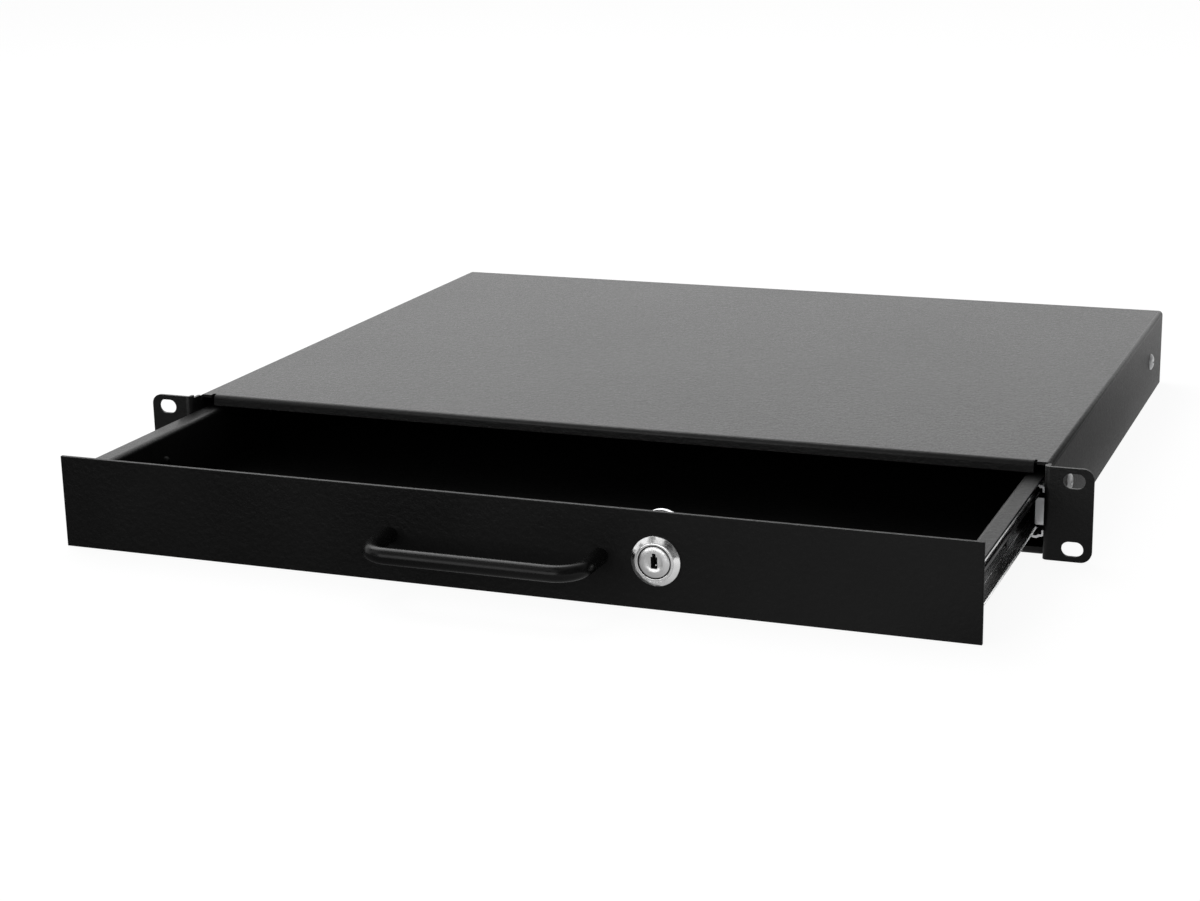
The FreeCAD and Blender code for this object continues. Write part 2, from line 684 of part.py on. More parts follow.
def make_slide_outer():
    """Member on the housing's wall, with the tab at its front that stops the ball cage."""
    channel = rolled_channel("slide_outer", ("outer_lip_x", "outer_lip_z"), "outer_raceway_x",
                             "outer_flange", "wall_inner", "wall_inner - slide_bend", (-1, -1),
                             "slide_setback", "slide_length")
    tab = block("front_stop", "outer_web_face - front_stop_reach", "slide_setback",
                "slide_centre - front_stop_height / 2", "front_stop_reach + slide_strip / 2",
                "slide_strip", "front_stop_height")
    notches = [block("front_notch_" + side, "outer_web_face - slide_strip",
                     "slide_setback - slide_strip", foot, "3 * slide_strip",
                     "stop_notch_depth + slide_strip", "stop_notch")
               for side, foot in (("upper", "slide_centre + front_stop_height / 2"),
                                  ("lower", "slide_centre - front_stop_height / 2 - stop_notch"))]
    holes = [bar_along("X", "slide_outer_" + place, "outer_web_face - slide_strip", place,
                       "slide_centre", "thread / 2 + thread_clearance", "3 * slide_strip")
             for place in ("screw_front", "screw_rear")]
    holes.append(bar_along("X", "bumper_seat", "outer_web_face - slide_strip",
                           "bumper_start + bumper_length / 2", "slide_centre",
                           "thread / 2 + thread_clearance", "3 * slide_strip"))
    return cut_all("slide_outer_right", fuse_all("slide_outer_blank", [channel, tab]),
                   notches + holes)


def make_slide_inner():
    """Member on the tray, with the tab at its back that carries the ball cage to its stop."""
    channel = rolled_channel("slide_inner", ("inner_tail_x", "inner_tail_z"), "inner_raceway_x",
                             "inner_flange", "tray_half", "tray_half + slide_bend", (-1, 1),
                             "inner_start", "inner_end - inner_start")
    tab = block("rear_stop", "tray_half + slide_strip / 2", "inner_end - slide_strip",
                "slide_centre - rear_stop_height / 2",
                "cage_web_face - tray_half - slide_strip / 2", "slide_strip", "rear_stop_height")
    holes = [bar_along("X", "slide_inner_hole_%d" % index, "tray_half - slide_strip",
                       "tray_screw_front + tray_screw_pitch * %d" % index, "slide_centre",
                       "thread / 2 + thread_clearance", "3 * slide_strip") for index in range(3)]
    return cut_all("slide_inner_closed", fuse_all("slide_inner_blank", [channel, tab]), holes)


def make_ball_cage():
    """Strip between the members that keeps the balls apart, one pocket to a ball."""
    body = new_body("ball_cage_closed")
    section = new_sketch(body, "XZ_Plane", y="slide_centre", depth="-cage_start")
    level, over, under = "cage_edge", "(ball_height + cage_strip / 2)", "(ball_height - cage_strip / 2)"
    draw_polygon(section, (("cage_web_face", "-" + over), ("cage_web_face", over), (level, over),
                           (level, under), ("cage_web_face - cage_strip", under),
                           ("cage_web_face - cage_strip", "-" + under), (level, "-" + under),
                           (level, "-" + over)))
    pad(body, section, "cage_length", reverse=True)
    pockets = new_sketch(body, "XY_Plane")
    for index in range(int(number("balls_per_row"))):
        middle = "cage_start + cage_margin + ball_pitch * %d" % index
        draw_box(pockets, "ball_x - ball_radius - pocket_clearance",
                 "ball_x + ball_radius + pocket_clearance",
                 middle + " - ball_radius - pocket_clearance",
                 middle + " + ball_radius + pocket_clearance")
    pocket(body, pockets, "through")
    return body


def faceted_ball(radius, sides=8, bands=4):
    """A small ball with flat facets and its corners on the sphere."""
    def corner(band, side):
        fall, turn = math.pi * band / bands, 2 * math.pi * side / sides
        return Vector(math.sin(fall) * math.cos(turn), math.sin(fall) * math.sin(turn),
                      math.cos(fall)) * radius

    faces = []
    for band in range(bands):
        for side in range(sides):
            outline = [corner(band, side), corner(band + 1, side)]
            if band < bands - 1:
                outline.append(corner(band + 1, side + 1))
            if band > 0:
                outline.append(corner(band, side + 1))
            faces.append(Part.Face(Part.makePolygon(outline + outline[:1])))
    return Part.Solid(Part.Shell(faces))


def make_balls():
    """The balls of one slide: an upper and a lower row."""
    balls = []
    for row, level in enumerate(("slide_centre + ball_height", "slide_centre - ball_height")):
        for index in range(int(number("balls_per_row"))):
            ball = doc.addObject("Part::Feature", "ball_%d_%d" % (row, index))
            ball.Shape = faceted_ball(number("ball_radius"))
            balls.append(bind(
                ball, Placement__Base__x="ball_x",
                Placement__Base__y="cage_start + cage_margin + ball_pitch * %d" % index,
                Placement__Base__z=level))
    return balls


def make_bumper():
    """Rubber block in the back of the outer member, held by a peg through its web."""
    body = new_body("slide_bumper_right")
    outline = new_sketch(body, "YZ_Plane", depth="outer_web_face - bumper_depth")
    draw_box(outline, "bumper_start", "bumper_start + bumper_length",
             "slide_centre - bumper_height / 2", "slide_centre + bumper_height / 2")
    pad(body, outline, "bumper_depth")
    fillet(body, edges_at(body, z=("slide_centre - bumper_height / 2",
                                   "slide_centre + bumper_height / 2"),
                          y=("bumper_start", "bumper_start + bumper_length")), "bumper_length / 5")
    peg = new_sketch(body, "YZ_Plane", depth="outer_web_face")
    draw_circle(peg, "bumper_start + bumper_length / 2", "slide_centre", "thread / 2")
    pad(body, peg, "slide_strip")
    return body


def make_slides():
    """Both slides: the right one, and its mirror image on the left."""
    balls = make_balls()
    wall_screws = [pan_screw("wall_" + place, "-X", "housing_half", place, "slide_centre",
                             "housing_half - outer_web_face", head="wall_head",
                             head_height="wall_head_height")
                   for place in ("screw_front", "screw_rear")]
    tray_screws = [pan_screw("tray_screw_%d" % index, "X", "tray_half - tray_sheet",
                             "tray_screw_front + tray_screw_pitch * %d" % index, "slide_centre",
                             "tray_sheet + slide_strip + thread / 2") for index in range(3)]
    right = [make_slide_outer(), make_bumper(), group("wall_screws_right", wall_screws),
             drawn_forward("slide_inner_right", make_slide_inner()),
             drawn_forward("ball_cage_right", make_ball_cage(), "1 / 2"),
             drawn_forward("balls_right", balls, "1 / 2"),
             drawn_forward("tray_screws_right", tray_screws)]
    left = [mirrored(item, item.Label.replace("right", "left")) for item in right]
    return right + left


# ---------------------------------------------------------------- drawer

def make_tray_blank():
    """Open tray, folded from one sheet, with a rim that turns out over each slide."""
    body = new_body("tray_blank")
    outline = new_sketch(body, "XY_Plane", depth="-tray_foot")
    draw_box(outline, "-tray_half", "tray_half", "panel_thickness", "tray_end")
    pad(body, outline, "tray_foot + rim_top")
    hollow = new_sketch(body, "XY_Plane", depth="rim_top")
    draw_box(hollow, "tray_sheet - tray_half", "tray_half - tray_sheet", "tray_front_inner",
             "tray_end - tray_sheet")
    pocket(body, hollow, "tray_foot + rim_top - tray_sheet")
    rims = new_sketch(body, "XZ_Plane", depth="-panel_thickness")
    for side in ("", "-"):
        draw_polygon(rims, [(side + x, z) for x, z in (
            ("tray_half", "rim_top - tray_sheet"), ("rim_half", "rim_top - tray_sheet"),
            ("rim_half", "rim_top"), ("tray_half", "rim_top"))])
    pad(body, rims, "tray_end - panel_thickness", reverse=True)
    fillet(body, edges_at(body, x=("tray_half - tray_sheet", "tray_sheet - tray_half"),
                          z="rim_top"), "rim_bend")
    fillet(body, edges_at(body, x=("tray_half", "-tray_half"), z="rim_top - tray_sheet"),
           "rim_bend - tray_sheet")
    fillet(body, edges_at(body, x=("tray_half", "-tray_half"), z="-tray_foot")
           + edges_at(body, y=("panel_thickness", "tray_end"), z="-tray_foot"), "rim_bend")
    fillet(body, edges_at(body, x=("tray_half - tray_sheet", "tray_sheet - tray_half"),
                          z="tray_sheet - tray_foot"), "rim_bend - tray_sheet")
    return body


def make_panel_blank():
    """Flat front panel with a slightly broken rim."""
    body = new_body("panel_blank")
    outline = new_sketch(body, "XZ_Plane")
    draw_box(outline, "-panel_half", "panel_half", "-panel_foot", "panel_height - panel_foot")
    pad(body, outline, "panel_thickness", reverse=True)
    fillet(body, edges_at(body, y="0"), "panel_edge")
    return body


def lock_hole():
    """Tool for the hole with two flats that keeps the lock's barrel from turning."""
    round_bar = bar_along("Y", "lock_hole_round", "lock_x", "-panel_thickness", "lock_z",
                          "barrel_radius + hole_clearance", "4 * panel_thickness")
    flats = block("lock_hole_flats", "lock_x - barrel_flats / 2 - hole_clearance",
                  "-2 * panel_thickness", "-panel_height", "barrel_flats + 2 * hole_clearance",
                  "6 * panel_thickness", "2 * panel_height")
    hole = doc.addObject("Part::Common", "lock_hole")
    hole.Base, hole.Tool = round_bar, flats
    return hole


HANDLE_FEET = ("handle_x - handle_spacing / 2", "handle_x + handle_spacing / 2")
STUD_PLACES = ("-stud_outer_x", "-stud_inner_x", "stud_inner_x", "stud_outer_x")


def front_holes(name, places, z):
    """Tools for the round holes through the tray's front wall or the panel."""
    return [bar_along("Y", "%s_%d" % (name, index), x, "-panel_thickness", z,
                      "thread / 2 + hole_clearance", "4 * panel_thickness")
            for index, x in enumerate(places)]


def make_tray_and_panel():
    side_holes = [bar_along("X", "side_hole_%d" % index, "-housing_half",
                            "tray_screw_front + tray_screw_pitch * %d" % index, "slide_centre",
                            "thread / 2 + hole_clearance", "2 * housing_half") for index in range(3)]
    handle_holes = front_holes("handle_hole", HANDLE_FEET, "0")
    stud_holes = front_holes("stud_hole", STUD_PLACES, "0")
    hole = lock_hole()
    tray = cut_all("tray_closed", make_tray_blank(), side_holes + handle_holes + stud_holes + [hole])
    panel = cut_all("panel_closed", make_panel_blank(), handle_holes + [hole])
    studs, nuts = [], []
    for index, x in enumerate(STUD_PLACES):
        studs.append(flat_bar("Y", "stud_%d" % index, x, "panel_thickness", "0", "thread / 2",
                              "stud_length"))
        bore = flat_bar("Y", "panel_nut_bore_%d" % index, x, "tray_front_inner", "0",
                        "thread / 2 + thread_clearance", "nut_height")
        nuts.append(hexagon_nut("panel_nut_%d" % index, x, "tray_front_inner", "0", "nut_flats",
                                "nut_height", bore))
    return [drawn_forward("drawer_tray", tray), drawn_forward("front_panel", panel),
            drawn_forward("panel_studs", studs), drawn_forward("panel_nuts", nuts)]


def make_handle():
    """Bow handle: one rod with two bends, tapped in both feet."""
    body = new_body("handle_closed")
    path = new_sketch(body, "XY_Plane")
    left, right = HANDLE_FEET
    draw_path(path, ((left, "0"), (left, "handle_bend - handle_run"),
                     ("%s + handle_bend" % left, "-handle_run"),
                     ("%s - handle_bend" % right, "-handle_run"),
                     (right, "handle_bend - handle_run"), (right, "0")),
              {1: ("handle_bend", 1), 3: ("handle_bend", 1)})
    section = new_sketch(body, "XZ_Plane")
    draw_circle(section, left, "0", "handle_rod / 2")
    rod = body.newObject("PartDesign::AdditivePipe", "Rod")
    rod.Profile = section
    rod.Spine = path
    doc.recompute()
    taps = new_sketch(body, "XZ_Plane")
    for foot in HANDLE_FEET:
        draw_circle(taps, foot, "0", "thread / 2 + thread_clearance")
    pocket(body, taps, "handle_hole", reverse=True)
    screws = [back_screw("handle_screw_%d" % index, foot, "tray_front_inner", "0",
                         "tray_front_inner + handle_hole - thread / 2")
              for index, foot in enumerate(HANDLE_FEET)]
    return [drawn_forward("bow_handle", body), drawn_forward("handle_screws", screws)]


# ---------------------------------------------------------------- lock

def make_lock_barrel():
    """Fixed part of the lock: a conical bezel and a threaded barrel with two flats."""
    body = new_body("barrel_closed")
    section = new_sketch(body, "YZ_Plane", y="lock_z", depth="lock_x")
    bore = "plug_radius + plug_clearance"
    draw_polygon(section, (("-bezel_height", bore), ("-bezel_height", "bezel_face / 2"),
                           ("-bezel_edge", "bezel_diameter / 2"), ("0", "bezel_diameter / 2"),
                           ("0", "barrel_radius"), ("barrel_end", "barrel_radius"),
                           ("barrel_end", bore)))
    revolve(body, section)
    flats = new_sketch(body, "XZ_Plane", x="lock_x", y="lock_z")
    for side in ("", "-"):
        draw_polygon(flats, [(side + x, z) for x, z in (
            ("(barrel_flats / 2)", "-barrel_radius"), ("barrel_radius", "-barrel_radius"),
            ("barrel_radius", "barrel_radius"), ("(barrel_flats / 2)", "barrel_radius"))])
    pocket(body, flats, "barrel_end")
    return body


def make_lock_plug():
    """Turning part of the lock, with the key slot in front and the cam's square behind."""
    body = new_body("plug_closed")
    section = new_sketch(body, "YZ_Plane", y="lock_z", depth="lock_x")
    face = "-(bezel_height + plug_proud)"
    draw_polygon(section, ((face, "0"), (face, "plug_radius - plug_dish"),
                           (face + " + plug_dish / 2", "plug_radius"),
                           ("cam_plane", "plug_radius"), ("cam_plane", "0")))
    revolve(body, section)
    square = new_sketch(body, "XZ_Plane", x="lock_x", y="lock_z", depth="-cam_plane")
    draw_box(square, "-drive_square / 2", "drive_square / 2", "-drive_square / 2",
             "drive_square / 2")
    pad(body, square, "cam_thickness", reverse=True)
    slot = new_sketch(body, "XZ_Plane", x="lock_x", y="lock_z", depth="bezel_height + plug_proud")
    foot, top = ("key_slot_rise %s key_slot_height / 2" % sign for sign in "-+")
    step = top + " - key_slot_neck"
    draw_polygon(slot, (("-key_slot_foot / 2", foot), ("key_slot_foot / 2", foot),
                        ("key_slot_foot / 2", step), ("key_slot_width / 2", step),
                        ("key_slot_width / 2", top), ("-key_slot_width / 2", top),
                        ("-key_slot_width / 2", step), ("-key_slot_foot / 2", step)))
    pocket(body, slot, "key_slot_depth")
    tap = new_sketch(body, "XZ_Plane", x="lock_x", y="lock_z", depth="-(cam_plane + cam_thickness)")
    draw_circle(tap, "0", "0", "cam_screw / 2 + thread_clearance")
    pocket(body, tap, "cam_screw_length", reverse=True)
    return body


def make_lock_cam():
    """Flat cam that turns up behind the strike plate.  Unlocked, it leans to the left."""
    blank = new_body("cam_blank")
    outline = new_sketch(blank, "XZ_Plane")
    draw_stadium(outline, "0", "cam_arm / 2", "cam_arm / 2", "cam_radius", upright=True)
    pad(blank, outline, "cam_thickness", reverse=True)
    blank.Placement = Placement(Vector(), Rotation(Vector(0, 1, 0), -number("cam_angle")))
    bind(blank, Placement__Base__x="lock_x", Placement__Base__y="cam_plane",
         Placement__Base__z="lock_z", Placement__Rotation__Angle="-cam_angle")
    square = block("cam_square", "lock_x - drive_square / 2 - thread_clearance",
                   "cam_plane - cam_thickness", "lock_z - drive_square / 2 - thread_clearance",
                   "drive_square + 2 * thread_clearance", "3 * cam_thickness",
                   "drive_square + 2 * thread_clearance")
    return cut_all("cam_closed", blank, [square])


def make_lock():
    washer_end = "tray_front_inner + washer_thickness"
    cam_back = "cam_plane + cam_thickness"
    washer = ring("nut_washer", "lock_x", "tray_front_inner", "lock_z", "lock_washer / 2",
                  "barrel_radius + hole_clearance", "washer_thickness")
    nut_bore = bar_along("Y", "barrel_nut_bore", "lock_x", washer_end, "lock_z",
                         "barrel_radius + thread_clearance", "lock_nut_height")
    nut = hexagon_nut("barrel_nut", "lock_x", washer_end, "lock_z", "lock_nut_flats",
                      "lock_nut_height", nut_bore)
    cam_washer = ring("cam_washer", "lock_x", cam_back, "lock_z", "cam_screw_head / 2 + hole_clearance",
                      "cam_screw / 2 + hole_clearance", "washer_thickness")
    screw = back_screw("cam_screw_closed", "lock_x", "%s + washer_thickness" % cam_back, "lock_z",
                       "cam_screw_length", "cam_screw", "cam_screw_head")
    return [drawn_forward("lock_barrel", make_lock_barrel()),
            drawn_forward("lock_washer", washer), drawn_forward("lock_nut", nut),
            drawn_forward("lock_plug", make_lock_plug()), drawn_forward("lock_cam", make_lock_cam()),
            drawn_forward("lock_cam_washer", cam_washer), drawn_forward("lock_cam_screw", screw)]


# ---------------------------------------------------------------- checks and files

NODES = ([make_housing_shell(), make_bottom_pan(), make_rear_panel(), make_lock_strike()]
         + make_slides() + make_tray_and_panel() + make_handle() + make_lock())


def check_document():
    """Stops at an object that failed, or a piece with no sound shape."""
    for item in doc.Objects:
        if "Invalid" in item.State or "Error" in item.State:
            raise RuntimeError("%s failed: %s" % (item.Label, item.State))
    for node in NODES:
        if node.Shape.isNull() or not node.Shape.isValid() or not node.Shape.Solids:
            raise RuntimeError("%s has no sound shape" % node.Label)


def write_nodes():
    """One STEP file a node: its solid, or its solids as a compound."""
    os.makedirs("parts", exist_ok=True)
    for node in NODES:
        solids = node.Shape.Solids
        shape = solids[0] if len(solids) == 1 else Part.makeCompound(solids)
        shape.exportStep("parts/%s.step" % node.Label)


doc.recompute()
check_document()
write_nodes()
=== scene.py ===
import math

import bmesh
import bpy
from mathutils import Matrix, Vector


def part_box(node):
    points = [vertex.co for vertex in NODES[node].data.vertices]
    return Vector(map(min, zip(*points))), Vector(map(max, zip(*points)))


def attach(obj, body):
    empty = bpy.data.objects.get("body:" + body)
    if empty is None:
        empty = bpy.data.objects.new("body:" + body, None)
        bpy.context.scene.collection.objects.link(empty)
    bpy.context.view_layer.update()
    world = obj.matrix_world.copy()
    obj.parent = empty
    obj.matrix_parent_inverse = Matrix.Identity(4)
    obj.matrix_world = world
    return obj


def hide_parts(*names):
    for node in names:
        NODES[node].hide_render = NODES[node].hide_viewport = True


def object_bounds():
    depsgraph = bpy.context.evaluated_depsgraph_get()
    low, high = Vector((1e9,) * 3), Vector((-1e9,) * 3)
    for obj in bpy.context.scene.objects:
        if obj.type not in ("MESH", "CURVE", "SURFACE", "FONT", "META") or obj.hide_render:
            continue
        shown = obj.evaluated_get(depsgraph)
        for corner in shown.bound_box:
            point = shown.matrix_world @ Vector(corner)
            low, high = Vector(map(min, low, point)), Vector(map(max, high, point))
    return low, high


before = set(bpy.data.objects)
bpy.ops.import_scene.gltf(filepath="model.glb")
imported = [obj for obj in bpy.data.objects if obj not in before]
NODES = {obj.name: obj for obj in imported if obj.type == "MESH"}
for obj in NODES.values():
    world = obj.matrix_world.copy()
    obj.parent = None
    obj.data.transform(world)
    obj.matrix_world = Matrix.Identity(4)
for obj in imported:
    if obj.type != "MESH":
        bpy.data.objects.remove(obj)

# Sliding rack drawer: the looks.  Metres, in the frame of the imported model: the origin is the
# centre of the rack ears' slots on the ears' front plane, X right, Y into the rack, Z up.

CAD_BOX = [list(corner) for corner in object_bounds()]
MM = 0.001


# ---------------------------------------------------------------- camera, floor and light

CAMERA_PLACE = Vector((0.4030, -1.0032, 0.3103))
CAMERA_AZIMUTH = math.radians(-21.58)
CAMERA_ELEVATION = math.radians(15.47)
CAMERA_ROLL = math.radians(-1.19)
CAMERA_LENS = 70.08
SENSOR = 36.0


def make_camera():
    data = bpy.data.cameras.new("camera")
    data.lens = CAMERA_LENS
    data.sensor_width = SENSOR
    data.clip_start = 0.01
    camera = bpy.data.objects.new("camera", data)
    bpy.context.scene.collection.objects.link(camera)
    level = math.cos(CAMERA_ELEVATION)
    ahead = Vector((math.sin(CAMERA_AZIMUTH) * level, math.cos(CAMERA_AZIMUTH) * level,
                    -math.sin(CAMERA_ELEVATION)))
    flat_right = Vector((math.cos(CAMERA_AZIMUTH), -math.sin(CAMERA_AZIMUTH), 0.0))
    flat_up = flat_right.cross(ahead)
    right = flat_right * math.cos(CAMERA_ROLL) + flat_up * math.sin(CAMERA_ROLL)
    up = flat_up * math.cos(CAMERA_ROLL) - flat_right * math.sin(CAMERA_ROLL)
    camera.matrix_world = Matrix((
        (right.x, up.x, -ahead.x, CAMERA_PLACE.x), (right.y, up.y, -ahead.y, CAMERA_PLACE.y),
        (right.z, up.z, -ahead.z, CAMERA_PLACE.z), (0, 0, 0, 1)))
    bpy.context.scene.camera = camera


class Shader:
    """A node tree with short ways to add and join nodes."""

    def __init__(self, owner):
        owner.use_nodes = True
        self.tree = owner.node_tree
        self.tree.nodes.clear()

    def node(self, kind, settings=None, **inputs):
        """A node with settings on itself and values or links on its sockets."""
        made = self.tree.nodes.new(kind)
        for name, value in (settings or {}).items():
            setattr(made, name, value)
        for name, value in inputs.items():
            key = int(name[1:]) if name[0] == "_" else name.replace("_", " ")
            self.feed(made.inputs[key], value)
        return made

    def feed(self, socket, value):
        if isinstance(value, bpy.types.NodeSocket):
            self.tree.links.new(value, socket)
        else:
            socket.default_value = value

    def math(self, operation, first, second=0.0):
        return self.node("ShaderNodeMath", {"operation": operation}, _0=first,
                         _1=second).outputs[0]

    def spread(self, value, low, high, to_low=0.0, to_high=1.0):
        """The value from low to high, mapped onto to_low to to_high."""
        return self.node("ShaderNodeMapRange", {"interpolation_type": "SMOOTHSTEP"}, Value=value,
                         From_Min=low, From_Max=high, To_Min=to_low, To_Max=to_high).outputs[0]

    def noise(self, scale, detail=2.0, vector=None):
        made = self.node("ShaderNodeTexNoise", Scale=scale, Detail=detail, Roughness=0.5)
        self.feed(made.inputs["Vector"], vector or self.place())
        return made.outputs["Fac"]

    def place(self):
        """The surface's place in the row frame, in metres, at rest."""
        return self.node("ShaderNodeTexCoord").outputs["Object"]

    def mix(self, factor, first, second):
        made = self.node("ShaderNodeMix", {"data_type": "RGBA"})
        self.feed(made.inputs["Factor"], factor)
        self.feed(made.inputs["A"], first)
        self.feed(made.inputs["B"], second)
        return made.outputs["Result"]

    def bump(self, height, distance, normal=None):
        made = self.node("ShaderNodeBump", Strength=1.0, Distance=distance, Height=height)
        if normal:
            self.feed(made.inputs["Normal"], normal)
        return made.outputs["Normal"]


def rgba(level, green=None, blue=None):
    return (level, level if green is None else green, level if blue is None else blue, 1.0)


# Brightness of the white surroundings in reflections: behind the object, in the light and the dark
# boards over and before it, and to the right, where they are darkest.
GLOSS_BEHIND, GLOSS_BOARD, GLOSS_BETWEEN, GLOSS_RIGHT = 1.75, 1.00, 0.12, 0.18
# Where they change, from and to, by the Y and X of the way that a reflection looks.
BEHIND_WAYS, RIGHT_WAYS = (-0.1, 0.6), (-0.12, 0.45)
# Scale of the boards, and the noise levels at their edges.
BOARD_SCALE, BOARD_EDGES = 2.6, (0.44, 0.54)

# The floor in reflections: its brightness before the panel's left and right end, and how much
# brighter than GLOSS_RIGHT it gets along the right wall.
FLOOR_LEFT, FLOOR_RIGHT, FLOOR_RISE = 0.08, 0.95, 3.0
# Where it changes, from and to, in metres: across, towards the back, along the right wall, and into
# the dark stretch beside that wall, which is painted shade and starts that far before the ears.
FLOOR_ACROSS, FLOOR_BACK = (-0.1, 0.25), (-0.1, 0.7)
FLOOR_ALONG, FLOOR_BESIDE, BESIDE_START = (0.2, 0.6), (0.16, 0.26), 0.35

# What the world gives to matt surfaces, and what the camera sees of the floor: its own light, and
# the share that the lamps and shadows add.
AMBIENT = 0.45
FLOOR_GLOW, FLOOR_SHADE = 0.92, 0.12
FLOOR_HALF, FLOOR_TONE = 6.0, 0.8


def seen_plainly(shader):
    """1 for rays from the camera or through glass, and 1 for glossy rays."""
    path = shader.node("ShaderNodeLightPath")
    return shader.math("MAXIMUM", path.outputs["Is Camera Ray"],
                       path.outputs["Is Transmission Ray"]), path.outputs["Is Glossy Ray"]


def make_world():
    """White to the camera, and a plain studio to everything else."""
    world = bpy.data.worlds.new("world")
    bpy.context.scene.world = world
    shader = Shader(world)
    plain, glossy = seen_plainly(shader)
    looked = shader.node("ShaderNodeTexCoord").outputs["Generated"]
    way = shader.node("ShaderNodeSeparateXYZ", Vector=looked)
    boards = shader.noise(BOARD_SCALE, 0.0, vector=looked)
    ahead = shader.spread(boards, *BOARD_EDGES, GLOSS_BETWEEN, GLOSS_BOARD)
    sheen = shader.math("MULTIPLY",
                        shader.spread(way.outputs["Y"], *BEHIND_WAYS, ahead, GLOSS_BEHIND),
                        shader.spread(way.outputs["X"], *RIGHT_WAYS, 1.0, GLOSS_RIGHT))
    level = shader.math("ADD", shader.math("MULTIPLY", glossy, sheen),
                        shader.math("MULTIPLY", shader.math("SUBTRACT", 1.0, glossy), AMBIENT))
    back = shader.node("ShaderNodeBackground", Color=rgba(1.0),
                       Strength=shader.math("MAXIMUM", plain, level))
    out = shader.node("ShaderNodeOutputWorld")
    shader.feed(out.inputs["Surface"], back.outputs[0])


def make_floor():
    """A pale floor that reads as white and keeps a faint shadow."""
    low = CAD_BOX[0][2]
    corners = [(x * FLOOR_HALF, y * FLOOR_HALF, low)
               for x, y in ((-1, -1), (1, -1), (1, 1), (-1, 1))]
    mesh = bpy.data.meshes.new("floor")
    mesh.from_pydata(corners, [], [(0, 1, 2, 3)])
    floor = bpy.data.objects.new("floor", mesh)
    bpy.context.scene.collection.objects.link(floor)
    material = bpy.data.materials.new("floor")
    mesh.materials.append(material)
    shader = Shader(material)
    plain, glossy = seen_plainly(shader)
    place = shader.node("ShaderNodeSeparateXYZ", Vector=shader.place())
    near = shader.spread(place.outputs["X"], *FLOOR_ACROSS, FLOOR_LEFT, FLOOR_RIGHT)
    ahead = shader.spread(place.outputs["Y"], *FLOOR_BACK, near, GLOSS_BEHIND)
    right = shader.spread(place.outputs["Y"], *FLOOR_ALONG, GLOSS_RIGHT, FLOOR_RISE * GLOSS_RIGHT)
    # Painted shade: in reflections, the floor glows less beside the right wall.
    beside = shader.math("MINIMUM", place.outputs["X"],
                         shader.math("ADD", place.outputs["Y"], BESIDE_START))
    aside = shader.spread(beside, *FLOOR_BESIDE, 1.0, right)
    sheen = shader.node("ShaderNodeEmission", Color=rgba(1.0),
                        Strength=shader.math("MULTIPLY", ahead, aside))
    matt = shader.node("ShaderNodeBsdfDiffuse", Color=rgba(FLOOR_TONE))
    shade = shader.node("ShaderNodeBsdfDiffuse", Color=rgba(FLOOR_SHADE))
    glow = shader.node("ShaderNodeEmission", Color=rgba(1.0), Strength=FLOOR_GLOW)
    bright = shader.node("ShaderNodeAddShader", _0=shade.outputs[0], _1=glow.outputs[0])
    lit = shader.node("ShaderNodeMixShader", _0=glossy, _1=matt.outputs[0], _2=sheen.outputs[0])
    last = shader.node("ShaderNodeMixShader", _0=plain, _1=lit.outputs[0], _2=bright.outputs[0])
    out = shader.node("ShaderNodeOutputMaterial")
    shader.feed(out.inputs["Surface"], last.outputs[0])


def make_light(name, place, aim, width, height, power):
    data = bpy.data.lights.new(name, "AREA")
    data.shape = "RECTANGLE"
    data.size = width
    data.size_y = height
    data.energy = power
    light = bpy.data.objects.new(name, data)
    light.location = place
    light.rotation_euler = (Vector(aim) - Vector(place)).to_track_quat("-Z", "Y").to_euler()
    bpy.context.scene.collection.objects.link(light)


def make_lights():
    """Soft boxes: metres and watts."""
    make_light("key", (-1.1, 0.9, 1.9), (0, 0.1, 0), width=1.8, height=1.4, power=26.0)
    make_light("front", (-0.35, -1.5, 0.40), (0.05, -0.1, 0), width=1.4, height=0.7, power=7.0)


# ---------------------------------------------------------------- materials

def finish_material(shader, **inputs):
    surface = shader.node("ShaderNodeBsdfPrincipled", **inputs)
    out = shader.node("ShaderNodeOutputMaterial")
    shader.feed(out.inputs["Surface"], surface.outputs[0])


# Scales of the noises, per metre, and the depths of their bumps, in metres.
COAT_PATCHES, COAT_SPECKS, COAT_PEEL = 14.0, 1500.0, 420.0
SPECK_DEPTH, PEEL_DEPTH = 0.00012, 0.00016
METAL_BLOTCHES, METAL_LINES, METAL_WAVES = 90.0, 2600.0, 260.0
LINE_DEPTH, WAVE_DEPTH = 0.00003, 0.0002
RUBBER_PATCHES, RUBBER_GRAIN, GRAIN_DEPTH = 60.0, 900.0, 0.00004
# Drawn lines run along Y.
DRAWN_LINES = (1.0, 0.03, 1.0)
# The noises vary mostly between these levels.
MIDDLE, MOST = (0.35, 0.65), (0.3, 0.7)
# A face looks up from one Z of its normal to the other.
LOOKS_UP = (0.4, 0.8)
# The tray's rims, from their outer edges.
RIM_WIDTH = 9.0 * MM


